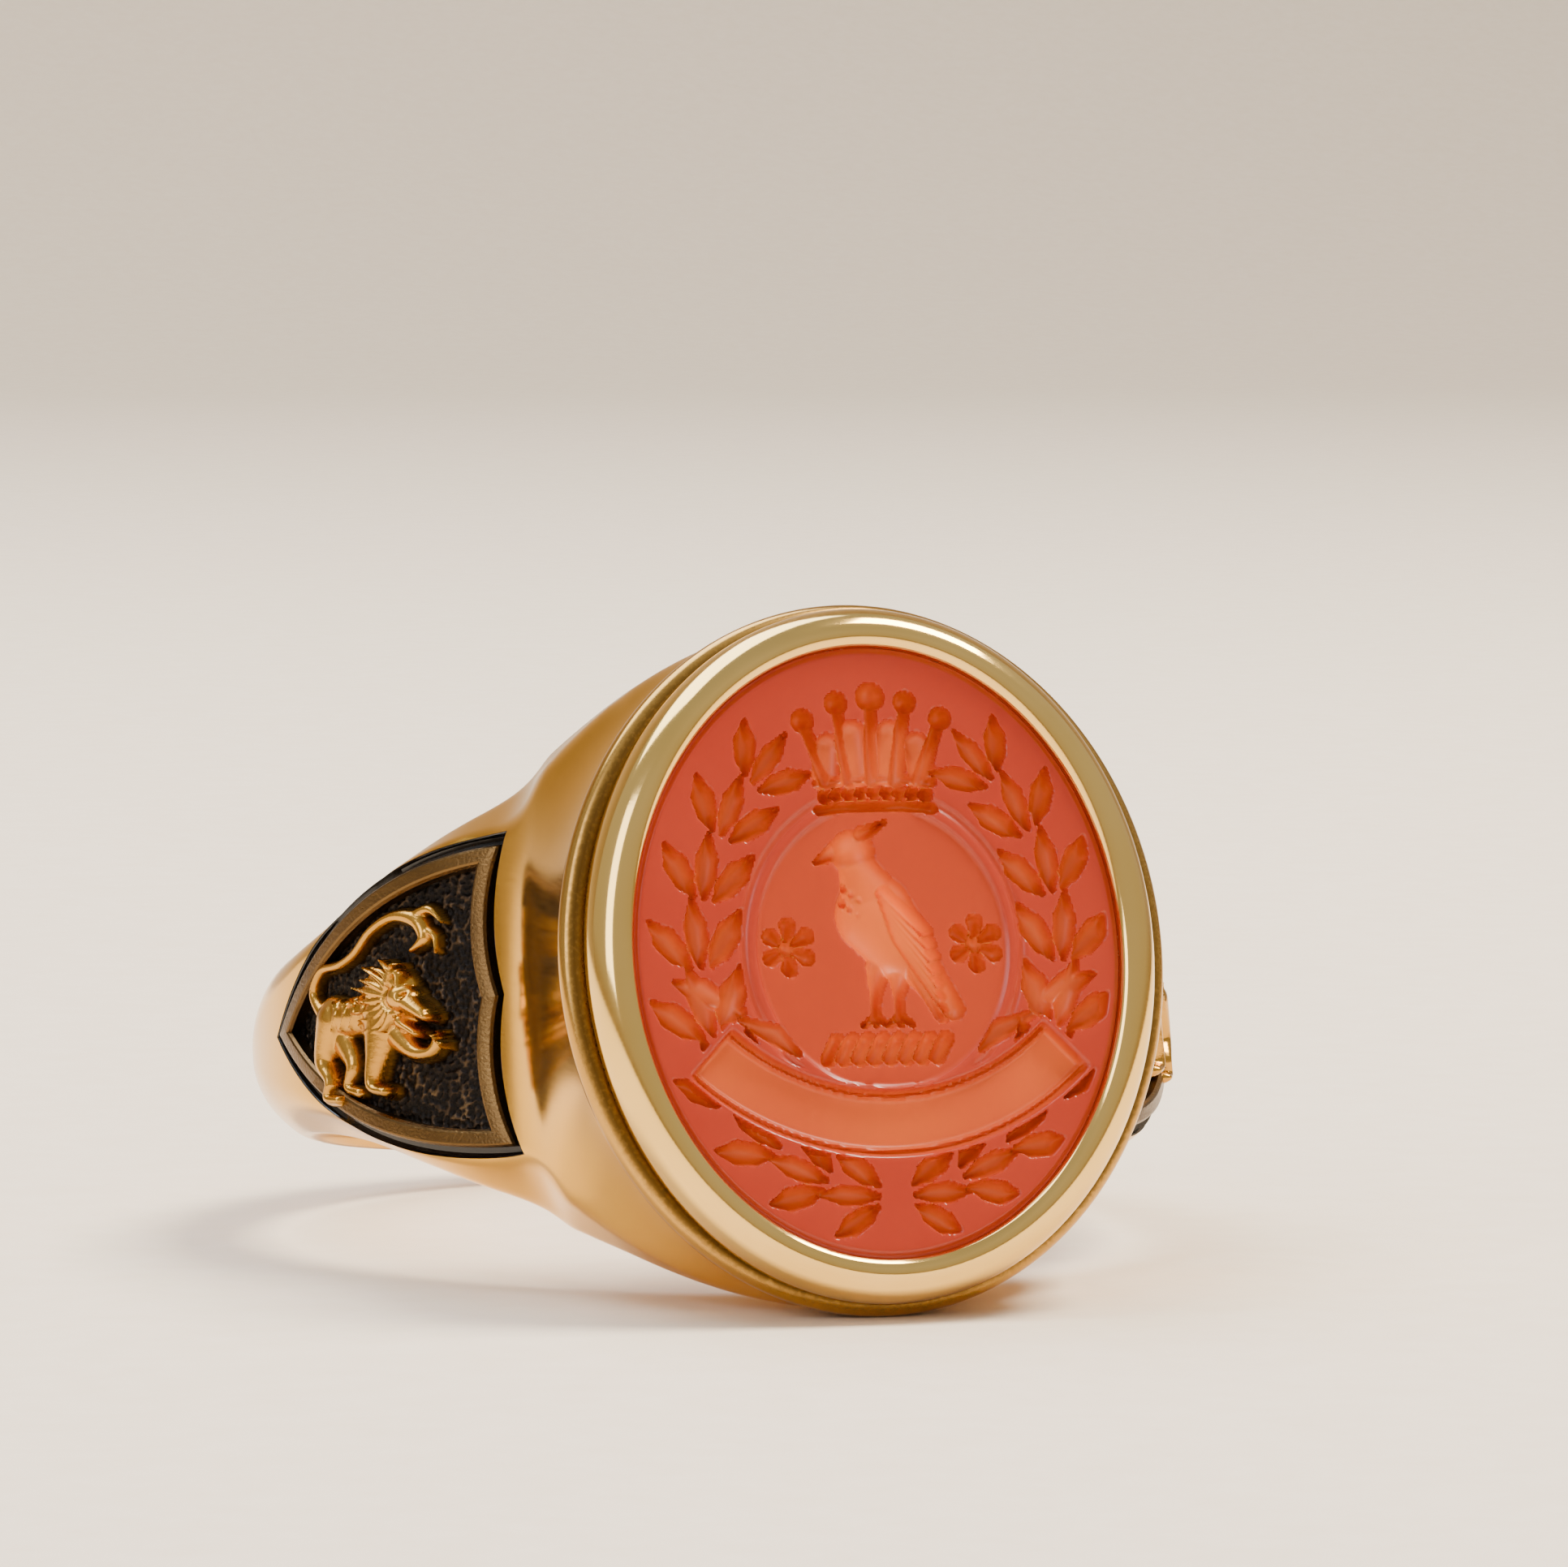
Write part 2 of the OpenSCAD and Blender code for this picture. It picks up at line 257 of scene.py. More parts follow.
def blackenedGround():
    # gold punched all over with a fine matting tool, then blackened: near black; the tops between the punch
    # marks get a lighter brown, partly the gold where the black is worn off and partly a painted glint
    material, tree = newMaterial("blackened_stippled_gold")
    place = addNode(tree, "ShaderNodeTexCoord").outputs["Object"]
    top = addNode(tree, "ShaderNodeAttribute", {"attribute_name": "raised"})
    worn = addNode(tree, "ShaderNodeTexNoise", {"Scale": 1500.0, "Detail": 3.0}, {"Vector": place})
    amount = addNode(tree, "ShaderNodeMath", {"operation": "MULTIPLY", "use_clamp": True},
                     {0: top.outputs["Fac"], 1: worn.outputs["Fac"]})
    colour = setRamp(addNode(tree, "ShaderNodeValToRGB", links={"Fac": amount.outputs[0]}),
                     [(0.0, "#0B0806"), (0.36, "#17110C"), (0.56, "#3E3022"), (0.85, "#7A6240")])
    grit = addNode(tree, "ShaderNodeTexNoise", {"Scale": 11000.0, "Detail": 2.0},
                   {"Vector": place})                                                         # 0.1 mm
    bump = addNode(tree, "ShaderNodeBump", {"Strength": 0.6, "Distance": 0.00004},
                   {"Height": grit.outputs["Fac"]})
    rough = addNode(tree, "ShaderNodeMapRange", {"To Min": 0.5, "To Max": 0.28}, {"Value": amount.outputs[0]})
    shader = addNode(tree, "ShaderNodeBsdfPrincipled", {"Metallic": 0.85},
                     {"Base Color": colour.outputs[0], "Roughness": rough.outputs[0],
                      "Normal": bump.outputs[0]})
    finishMaterial(tree, shader)
    return material


def blackEnamel():
    # cold enamel run into the channel: black, with a soft shine and faint unevenness
    material, tree = newMaterial("black_cold_enamel")
    place = addNode(tree, "ShaderNodeTexCoord").outputs["Object"]
    wave = addNode(tree, "ShaderNodeTexNoise", {"Scale": 2500.0, "Detail": 2.0}, {"Vector": place})
    colour = addNode(tree, "ShaderNodeMix", {"data_type": "RGBA", 6: linear("#050404"), 7: linear("#120D0A")},
                     {0: wave.outputs["Fac"]})
    bump = addNode(tree, "ShaderNodeBump", {"Strength": 0.25, "Distance": 0.00004},
                   {"Height": wave.outputs["Fac"]})
    shader = addNode(tree, "ShaderNodeBsdfPrincipled", {"Roughness": 0.22, "IOR": 1.5},
                     {"Base Color": colour.outputs[2], "Normal": bump.outputs[0]})
    finishMaterial(tree, shader)
    return material


def engravedCarnelian():
    # carnelian, a red-orange chalcedony: the face is polished flat, the wheel-cut hollows stay
    # silky; their paler, more orange colour, stronger the deeper the cut, is painted light that stands in for
    # light through the thinner stone
    material, tree = newMaterial("polished_engraved_carnelian")
    place = addNode(tree, "ShaderNodeTexCoord").outputs["Object"]
    cut = addNode(tree, "ShaderNodeAttribute", {"attribute_name": "cut"})
    paintedGlow = addNode(tree, "ShaderNodeAttribute", {"attribute_name": "paintedGlow"})
    cloud = addNode(tree, "ShaderNodeTexNoise", {"Scale": 260.0, "Detail": 4.0, "Roughness": 0.55},
                    {"Vector": place})                                                        # 4 mm clouds
    surface = addNode(tree, "ShaderNodeMix",
                      {"data_type": "RGBA", 6: linear("#A82E1A"), 7: linear("#B43C24")},
                      {0: cloud.outputs["Fac"]})
    hollow = addNode(tree, "ShaderNodeMix",
                     {"data_type": "RGBA", 6: linear("#AE300E"), 7: linear("#F07226")},
                     {0: paintedGlow.outputs["Fac"]})
    colour = addNode(tree, "ShaderNodeMix", {"data_type": "RGBA"},
                     {0: cut.outputs["Fac"], 6: surface.outputs[2], 7: hollow.outputs[2]})
    # painted light: the colour is scaled from 0.85 in shallow cuts up to 1.1 in the deepest
    shade = addNode(tree, "ShaderNodeMapRange", {"To Min": 0.85, "To Max": 1.1},
                    {"Value": paintedGlow.outputs["Fac"]})
    lit = addNode(tree, "ShaderNodeMix", {"data_type": "RGBA", "blend_type": "MULTIPLY", 0: 1.0},
                  {6: colour.outputs[2], 7: shade.outputs[0]})
    rough = addNode(tree, "ShaderNodeMapRange", {"To Min": 0.22, "To Max": 0.42},
                    {"Value": cut.outputs["Fac"]})
    polish = addNode(tree, "ShaderNodeTexNoise", {"Scale": 5200.0, "Detail": 3.0}, {"Vector": place})
    bump = addNode(tree, "ShaderNodeBump", {"Strength": 0.1, "Distance": 0.00003},
                   {"Height": polish.outputs["Fac"]})
    shader = addNode(tree, "ShaderNodeBsdfPrincipled",
                     {"IOR": 1.54, "Specular IOR Level": 0.3, "Subsurface Weight": 0.18,
                      "Subsurface Radius": (1.0, 0.32, 0.12), "Subsurface Scale": 0.0012},
                     {"Base Color": lit.outputs[2], "Roughness": rough.outputs[0], "Normal": bump.outputs[0]})
    finishMaterial(tree, shader)
    return material


groundMaterial = blackenedGround()
enamelMaterial = blackEnamel()
stoneMaterial = engravedCarnelian()
print("materials made")


# ---------- shank ----------
shank = dict(
    bandRadius=11.0, bandShift=0.15, bandHalf=2.3,
    headTop=13.5, neckX=6.9, headX=7.0, headZ=8.0, flareRadius=3.0, planRadius=8.3,
    # half width of the ring seen from the side, by height above the finger axis
    heights=[-3, 0, 3, 5, 6.2, 7.3, 8.3, 9.4, 10.5, 11.5, 12.3, 12.9],
    widths=[2.3, 2.48, 2.95, 3.5, 3.95, 4.65, 5.35, 5.85, 6.4, 7.1, 7.7, 8.0],
    # round the ring from the head (0) to the back (180): half height of the ridge where the outward
    # face ends, and how steeply the flank falls away from it
    angles=[0, 15, 22, 28, 33, 38, 43, 49, 55, 61, 69, 78, 92, 130, 180],
    ridge=[5.0, 5.0, 4.8, 4.4, 4.05, 3.83, 3.8, 3.62, 3.3, 2.84, 2.2, 1.75, 1.45, 1.3, 1.25],
    slope=[0.9, 0.9, 0.9, 0.9, 0.95, 0.92, 0.8, 0.66, 0.5, 0.45, 0.55, 0.62, 0.62, 0.6, 0.6],
    lensEnd=6.2, runOut=0.42,                  # where the lens seen from above stops, its fall after that
    narrowFrom=8.6,                            # height at which the sides start to follow the head's oval
    # darkeningFrom: the height above which the shank is darkened under the moulding, partly patina and partly
    # painted shade
    crown=0.3, boreEdge=0.5, darkeningFrom=13.42, slices=400, around=112,
)
flareX = shank["neckX"] + shank["flareRadius"]
flareH = shank["bandShift"] + math.sqrt((shank["bandRadius"] + shank["flareRadius"])**2 - flareX**2)
flareAngle = math.atan2(flareX, flareH - shank["bandShift"])


def faceRadius(turn):
    # how far the outward face is from the finger axis, at mid-width
    s, c = np.sin(turn), np.cos(turn)
    band = shank["bandShift"] * c + np.sqrt(shank["bandRadius"]**2 - (shank["bandShift"] * s)**2)
    along = flareX * s + flareH * c
    gap = np.maximum(shank["flareRadius"]**2 - (flareX**2 + flareH**2 - along**2), 0)
    upright = np.minimum(shank["headTop"] / np.maximum(c, 0.05), shank["neckX"] / np.maximum(s, 0.05))
    return np.where(turn < math.atan2(shank["neckX"], flareH), upright,
                    np.where(turn < flareAngle - 0.009, along - np.sqrt(gap), band))


def shankField(turn, r, z):
    # below zero inside the gold
    x, h, z = r * np.sin(turn), r * np.cos(turn), np.abs(z)
    degrees = np.degrees(turn)
    crown = shank["crown"] * smoothStep((degrees - 72) / 40) * (z / shank["bandHalf"])**2
    band = np.hypot(x, h - shank["bandShift"]) - shank["bandRadius"] + crown
    narrowing = shank["headX"] * (1 - np.sqrt(np.clip(1 - (z / shank["headZ"])**2, 0, 1)))
    flare = np.where(h > flareH, x - shank["neckX"], shank["flareRadius"] - np.hypot(x - flareX, h - flareH))
    rise = (h - shank["narrowFrom"]) / (shank["headTop"] - shank["narrowFrom"])
    flare = flare + narrowing * smoothStep(rise)
    face = np.where(np.arctan2(x, h - shank["bandShift"]) < flareAngle, flare, band)
    taper = easyCurve(shank["heights"], shank["widths"], h)
    inLens = np.minimum(x, shank["lensEnd"])
    lens = shank["headZ"] - shank["planRadius"] + np.sqrt(shank["planRadius"]**2 - inLens**2)
    plan = lens - shank["runOut"] * np.maximum(x - shank["lensEnd"], 0)
    topX = shank["headTop"] * np.tan(np.minimum(turn, 1.2))
    oval = shank["headZ"] * np.sqrt(np.clip(1 - (topX / shank["headX"])**2, 0, 1))
    ridge = np.maximum(np.where(degrees < 27, oval, 0), easyCurve(shank["angles"], shank["ridge"], degrees))
    fall = ridge + easyCurve(shank["angles"], shank["slope"], degrees) * (faceRadius(turn) - r)
    plan = np.where(h > 0, plan, 99)
    flank = z - smoothMin(smoothMin(taper, plan, 0.3), fall, 0.4)
    soft = 0.2 + 1.1 * smoothStep((degrees - 66) / 50)
    body = smoothMax(face, flank * 0.85, soft)
    body = smoothMax(body, h - shank["headTop"], 0.08)
    return smoothMax(body, boreRadius - r, shank["boreEdge"])


def shankGrid():
    # rays from the middle of each slice find its outline; points gather where the outline bends
    u = np.linspace(0, 1, shank["slices"] // 2 + 1)
    turns = math.pi * (0.74 * u + 0.26 * u**3)
    rays = np.linspace(0, math.pi, 721)
    turn = turns[:, None] + 0 * rays[None, :]
    middle = (boreRadius + faceRadius(turn)) / 2
    low, high = np.zeros_like(turn), np.full_like(turn, 15.0)
    for _ in range(40):
        t = (low + high) / 2
        outside = shankField(turn, middle + t * np.cos(rays), t * np.sin(rays)) > 0
        low, high = np.where(outside, low, t), np.where(outside, t, high)
    r, z = middle + low * np.cos(rays), low * np.sin(rays)
    dr, dz = np.diff(r, axis=1), np.diff(z, axis=1)
    length = np.hypot(dr, dz)
    heading = np.unwrap(np.arctan2(dz, dr), axis=1)
    bend = np.abs(np.gradient(heading, axis=1))
    bend = sum(np.roll(bend, k, 1) for k in range(-4, 5)) / 9
    weight = length + 1.4 * bend + 0.004
    total = np.concatenate([np.zeros((len(turns), 1)), np.cumsum(weight, 1)], 1)
    total /= total[:, -1:]
    even = np.linspace(0, 1, shank["around"])
    rr = np.array([np.interp(even, total[i], r[i]) for i in range(len(turns))])
    zz = np.array([np.interp(even, total[i], z[i]) for i in range(len(turns))])
    rr = np.concatenate([rr, rr[:, -2:0:-1]], 1)
    zz = np.concatenate([zz, -zz[:, -2:0:-1]], 1)
    rightSide = np.stack([rr * np.sin(turns)[:, None], -rr * np.cos(turns)[:, None], zz], -1)
    leftSide = rightSide[-2:0:-1] * [-1, 1, 1]
    return np.concatenate([rightSide, leftSide])


def shankPiece():
    grid = shankGrid()
    rows, cols = grid.shape[:2]
    h = -grid[..., 1]
    # the shank is darkened just under the moulding: partly patina, partly painted shade where the moulding
    # meets it
    filmAndShade = smoothStep((h - shank["darkeningFrom"]) / (shank["headTop"] - shank["darkeningFrom"])) * 0.9
    return makePiece("shank_gold", grid, gridFaces(rows, cols, True, True), goldShank, 30, {"patinaAndShade": filmAndShade})


# ---------- relief ----------
def carve(x, y, shapes):
    # the highest of a set of rounded strokes; a stroke is a height and the (x, y, radius) it runs through
    height = np.full(x.shape, -0.1)
    for lift, path in shapes:
        ends = path if len(path) > 1 else path * 2
        for (ax, ay, ra), (bx, by, rb) in zip(ends, ends[1:]):
            reach = max(ra, rb) + 0.12
            near = ((x > min(ax, bx) - reach) & (x < max(ax, bx) + reach)
                    & (y > min(ay, by) - reach) & (y < max(ay, by) + reach))
            px, py = x[near] - ax, y[near] - ay
            long2 = (bx - ax)**2 + (by - ay)**2 + 1e-9
            t = np.clip((px * (bx - ax) + py * (by - ay)) / long2, 0, 1)
            radius = ra + (rb - ra) * t
            away = np.hypot(px - t * (bx - ax), py - t * (by - ay)) / radius
            dome = np.where(away < 1, lift * np.sqrt(np.clip(1 - away**2, 0, 1)), -(away - 1) * radius)
            height[near] = np.maximum(height[near], dome)
    return height


def flowing(path, steps=5):
    # the same stroke with its corners rounded
    p = np.array([path[0]] + list(path) + [path[-1]], float)
    out = []
    for a, b, c, d in zip(p, p[1:], p[2:], p[3:]):
        for t in np.arange(steps) / steps:
            cubic = 2 * a - 5 * b + 4 * c - d + t * (3 * (b - c) + d - a)
            out.append(tuple(b + 0.5 * t * (c - a + t * cubic)))
    return out + [tuple(p[-1])]


def patchFaces(keep):
    # closed sheet from a grid of kept cells: top, underside and the wall round them
    rows, cols = keep.shape[0] + 1, keep.shape[1] + 1
    r, c = np.nonzero(keep)
    a, b, d, e = r * cols + c, r * cols + c + 1, (r + 1) * cols + c + 1, (r + 1) * cols + c
    n = rows * cols
    faces = [np.stack([a, b, d, e], 1), np.stack([e, d, b, a], 1) + n]
    padded = np.pad(keep, 1)
    for dr, dc, p, q in ((-1, 0, a, b), (0, 1, b, d), (1, 0, d, e), (0, -1, e, a)):
        bare = ~padded[r + 1 + dr, c + 1 + dc]
        p, q = p[bare], q[bare]
        faces.append(np.stack([q, p, p + n, q + n], 1))
    faces = np.concatenate(faces)
    used, again = np.unique(faces, return_inverse=True)
    return used, again.reshape(faces.shape)


# ---------- shields ----------
shield = dict(
    angle=60.2, half=3.78, top=4.42, tip=4.26, lobeDepth=0.4, cuspDrop=0.4,
    pocketRadius=10.5, fillRadius=10.8, groundRadius=10.75, borderRadius=11.12,
    channel=0.26, border=0.42, groundInset=0.45, cutterTop=14.6, middle=0.9,
    outline=480, grid=0.034, punch=0.21,
)
shoulder = math.radians(shield["angle"])
sideStart = shield["top"] - 0.3
sideRun = sideStart + shield["tip"]
sideRadius = (sideRun**2 + shield["half"]**2) / (2 * shield["half"])
lobeChord = math.hypot(shield["half"], shield["cuspDrop"])
lobeRadius = (lobeChord**2 / 4 + shield["lobeDepth"]**2) / (2 * shield["lobeDepth"])
lobeLean = math.atan2(shield["cuspDrop"], shield["half"])
lobeU = shield["top"] - shield["cuspDrop"] / 2 + (lobeRadius - shield["lobeDepth"]) * math.cos(lobeLean)
lobeV = shield["half"] / 2 - (lobeRadius - shield["lobeDepth"]) * math.sin(lobeLean)

# a beast of no particular arms, walking: (height, [(u, v, radius), ...]) in mm, head towards +u
beast = [
    (0.36, flowing([(-1.2, -0.5, 0.42), (-0.8, -1.1, 0.27), (-0.98, -1.6, 0.17), (-0.55, -1.8, 0.17)])),
    (0.42, flowing([(0.7, -0.5, 0.42), (1.3, -1.02, 0.26), (1.85, -1.1, 0.2), (2.1, -0.84, 0.2)])),
    (0.5, flowing([(-1.5, 0.1, 0.56), (-0.6, 0.0, 0.48), (0.2, 0.1, 0.7)])),
    (0.58, flowing([(-1.5, 0.0, 0.6), (-1.78, -0.9, 0.34), (-1.45, -1.42, 0.22), (-1.55, -1.8, 0.2),
                    (-1.1, -1.92, 0.18)])),
    (0.6, flowing([(0.35, -0.1, 0.66), (0.2, -1.0, 0.36), (0.1, -1.7, 0.22), (0.55, -1.9, 0.18)])),
    (0.56, [(0.8, 0.3, 0.74), (0.4, 0.45, 0.68)]),
    (0.68, [(1.1, 0.26, 0.44), (1.35, 0.14, 0.36)]),
    (0.7, [(1.38, 0.12, 0.3), (1.88, -0.22, 0.22), (1.98, -0.3, 0.17)]),
    (0.55, [(1.1, -0.3, 0.26), (1.58, -0.64, 0.13)]),
    (0.7, [(0.95, 0.62, 0.2), (1.12, 1.02, 0.07)]),
    (0.34, flowing([(-1.9, 0.2, 0.24), (-2.25, 0.75, 0.18), (-1.85, 1.25, 0.16), (-1.1, 1.3, 0.15),
                    (-0.5, 1.5, 0.15), (0.1, 1.95, 0.16), (0.85, 2.2, 0.18), (1.5, 2.05, 0.24),
                    (1.75, 1.6, 0.2), (1.4, 1.32, 0.06)])),
    (0.28, flowing([(1.3, 2.1, 0.18), (1.9, 2.25, 0.15), (2.3, 1.9, 0.05)])),
    (0.28, flowing([(1.6, 1.9, 0.15), (2.05, 1.6, 0.12), (2.1, 1.2, 0.04)])),
]
for k in range(4):
    # claws of the raised paw
    beast.append((0.56, [(2.04 + 0.09 * k, -0.72 - 0.09 * k, 0.1), (2.2 + 0.05 * k, -0.66 - 0.14 * k, 0.04)]))
for k in range(11):
    # locks of the mane, swept back from the face
    lean = math.radians(62 + 19 * k)
    c, s, far = math.cos(lean), math.sin(lean), 0.78 + 0.14 * (k % 2)
    beast.append((0.6, flowing([(1.0 + 0.34 * c, 0.22 + 0.34 * s, 0.17),
                                (0.86 + 0.62 * c, 0.2 + 0.66 * s, 0.15),
                                (0.52 + far * c, 0.28 + far * s, 0.04)])))
for k in range(4):
    # ribs
    beast.append((0.53, flowing([(-0.1 - 0.34 * k, 0.42, 0.05), (-0.02 - 0.34 * k, 0.1, 0.1),
                                 (-0.2 - 0.34 * k, -0.28, 0.04)])))


def shieldField(u, v):
    # distance outside the shield's outline, in the flat: two side arcs and two hollows in the top edge
    v = np.abs(v)
    side = np.hypot(u - sideStart, v + sideRadius - shield["half"]) - sideRadius
    return np.maximum(side, lobeRadius - np.hypot(u - lobeU, v - lobeV))


def shieldOutline(inset):
    # rays from the middle, with points set on the four corners so that they stay sharp
    def reach(turns):
        low, high = np.zeros_like(turns), np.full_like(turns, 9.0)
        for _ in range(40):
            t = (low + high) / 2
            out = shieldField(shield["middle"] + t * np.cos(turns), t * np.sin(turns)) > -inset
            low, high = np.where(out, low, t), np.where(out, t, high)
        return low

    turns = np.linspace(-math.pi, math.pi, shield["outline"], endpoint=False)
    dense = np.linspace(0.5, 1.3, 4001)
    horn = dense[np.argmax(reach(dense))]
    for corner in (horn, -horn, 0.0, -math.pi):
        turns[np.argmin(np.abs(turns - corner))] = corner
    far = reach(turns)
    return np.stack([shield["middle"] + far * np.cos(turns), far * np.sin(turns)], -1)


def onShoulder(u, v, radius, side):
    # a point of the flat shield, set on a cylinder round the band; side -1 is the left shoulder
    across = u - math.sin(shoulder) * shank["bandShift"]
    out = np.sqrt(np.asarray(radius)**2 - across**2)
    x = out * math.sin(shoulder) - across * math.cos(shoulder)
    y = -shank["bandShift"] - out * math.cos(shoulder) - across * math.sin(shoulder)
    return np.stack([x * side, y, v + 0 * x], -1)


def shoulderSurface(outline):
    # how far out the shank's surface is over each point of the outline
    low, high = np.full(len(outline), 10.6), np.full(len(outline), 13.5)
    for _ in range(30):
        radius = (low + high) / 2
        p = onShoulder(outline[:, 0], outline[:, 1], radius, 1)
        out = shankField(np.arctan2(p[:, 0], -p[:, 1]), np.hypot(p[:, 0], p[:, 1]), p[:, 2]) > 0
        low, high = np.where(out, low, radius), np.where(out, radius, high)
    return low


def shieldBand(name, side, profile, material, sharp=35):
    # a closed band that follows the shield's outline; profile is a loop of (inset, radius, darkening: partly
    # patina, partly painted shade)
    outlines = [shieldOutline(p[0]) for p in profile]
    loops = np.stack([onShoulder(o[:, 0], o[:, 1], p[1], side) for o, p in zip(outlines, profile)])
    filmAndShade = np.repeat(np.array([[p[2]] for p in profile]), loops.shape[1], 1)
    faces = gridFaces(len(profile), loops.shape[1], True, True, flip=side < 0)
    return makePiece(name, loops, faces, material, sharp, {"patinaAndShade": filmAndShade})


def shieldPatch(name, side, heightOf, keepOf, base, material, key):
    u, v = np.meshgrid(np.arange(-4.3, 4.3, shield["grid"]), np.arange(-3.9, 3.9, shield["grid"]),
                       indexing="ij")
    height, mark = heightOf(u, v)
    keep = keepOf(u, v, height)
    keep = keep[1:, 1:] & keep[:-1, 1:] & keep[1:, :-1] & keep[:-1, :-1]
    used, faces = patchFaces(keep)
    top = onShoulder(u, v, shield["groundRadius"] + height, side).reshape(-1, 3)
    low = onShoulder(u, v, base, side).reshape(-1, 3)
    mark = np.concatenate([mark.ravel(), mark.ravel()])[used]
    faces = (faces[:, ::-1] if side > 0 else faces).tolist()
    return makePiece(name, np.concatenate([top, low])[used], faces, material, 50, {key: mark})


def punched(u, v):
    # dimples on two jittered lattices, turned against each other so that no rows show
    deep = np.zeros_like(u)
    for turn, step in ((0.52, shield["punch"]), (1.31, 0.8 * shield["punch"])):
        a, b = u * math.cos(turn) + v * math.sin(turn), v * math.cos(turn) - u * math.sin(turn)
        for da in (-1, 0, 1):
            for db in (-1, 0, 1):
                i, j = np.floor(a / step) + da, np.floor(b / step) + db
                jolt = np.modf(np.abs(np.sin(i * 127.1 + j * 311.7) * 43758.5))[0]
                jerk = np.modf(np.abs(np.sin(i * 269.5 + j * 183.3) * 24634.6))[0]
                away = np.hypot(a - (i + 0.1 + 0.8 * jolt) * step, b - (j + 0.1 + 0.8 * jerk) * step)
                deep = np.maximum(deep, (0.6 + 0.4 * jolt) * (1 - (away / (0.055 + 0.06 * jerk))**2))
    return -0.06 * deep, 1 - deep


def beastHeight(u, v):
    height = carve(u, v, beast)
    eye = np.exp(-((u - 1.36)**2 + (v - 0.26)**2) / 0.006)
    mouth = np.exp(-((v + 0.3 + 0.5 * (u - 1.3)) / 0.06)**2) * smoothStep((u - 1.15) / 0.2)
    height = np.where(height > 0.05, height - 0.25 * eye - 0.25 * mouth, height)
    # the second value darkens the relief's low parts next to the ground: painted shade in the recesses,
    # partly patina
    return np.minimum(height, 0.69), 1 - smoothStep((height - 0.02) / 0.3)


# ---------- setting ----------
setting = dict(
    window=(5.75, 7.0), head=(7.0, 8.0), around=384,
    # (offset out from the window, height, darkening: partly patina, partly painted shade on the lip's inner
    # wall and where the collet meets the moulding)
    collet=[(0.32, 14.1, 0.6), (0.32, 14.78, 0), (0.02, 14.8, 0), (0.0, 14.95, 0.5), (0.0, 15.06, 0.35),
            (0.03, 15.16, 0), (0.09, 15.235, 0), (0.18, 15.28, 0), (0.28, 15.297, 0), (0.4, 15.29, 0),
            (0.52, 15.25, 0), (0.64, 15.18, 0), (0.75, 15.08, 0), (0.84, 14.97, 0), (0.91, 14.84, 0),
            (0.96, 14.7, 0), (0.985, 14.55, 0), (0.99, 14.42, 0), (0.975, 14.34, 0.25), (0.93, 14.3, 0.5),
            (0.8, 14.27, 0.95), (0.78, 14.2, 1), (0.78, 14.1, 1)],
    moulding=13.8, mouldingRadius=0.3, mouldingOut=-0.1, mouldingSteps=14,
    bearing=(-0.85, 0.0, 13.05, 13.35),        # offsets in and out, heights below and above
    stoneTop=15.05, stoneGrid=300, bevel=0.06,
)


def ovalSweepTree():
    # Geometry Nodes that carry a closed profile round an oval; the profile's x is the offset outwards
    # and its y the height, which comes out along -z
    tree = bpy.data.node_groups.new("oval_sweep", "GeometryNodeTree")
    for name, kind in (("Profile", "Geometry"), ("Half Width", "Float"), ("Half Length", "Float"),
                       ("Steps", "Int"), ("Material", "Material")):
        tree.interface.new_socket(name, in_out="INPUT", socket_type="NodeSocket" + kind)
    tree.interface.new_socket("Sweep", in_out="OUTPUT", socket_type="NodeSocketGeometry")
    given = tree.nodes.new("NodeGroupInput").outputs
    section = addNode(tree, "GeometryNodeMeshToCurve", links={"Mesh": given["Profile"]})
    circle = addNode(tree, "GeometryNodeCurvePrimitiveCircle", {"Radius": 1.0},
                     {"Resolution": given["Steps"]})
    stretch = addNode(tree, "ShaderNodeCombineXYZ", {"Z": 1.0},
                      {"X": given["Half Width"], "Y": given["Half Length"]})
    oval = addNode(tree, "GeometryNodeTransform",
                   links={"Geometry": circle.outputs[0], "Scale": stretch.outputs[0]})
    swept = addNode(tree, "GeometryNodeCurveToMesh",
                    links={"Curve": oval.outputs[0], "Profile Curve": section.outputs[0]})
    solid = addNode(tree, "GeometryNodeRealizeInstances", links={"Geometry": swept.outputs[0]})
    plated = addNode(tree, "GeometryNodeSetMaterial",
                     links={"Geometry": solid.outputs[0], "Material": given["Material"]})
    addNode(tree, "NodeGroupOutput", links={0: plated.outputs[0]})
    return tree


sweepTree = ovalSweepTree()


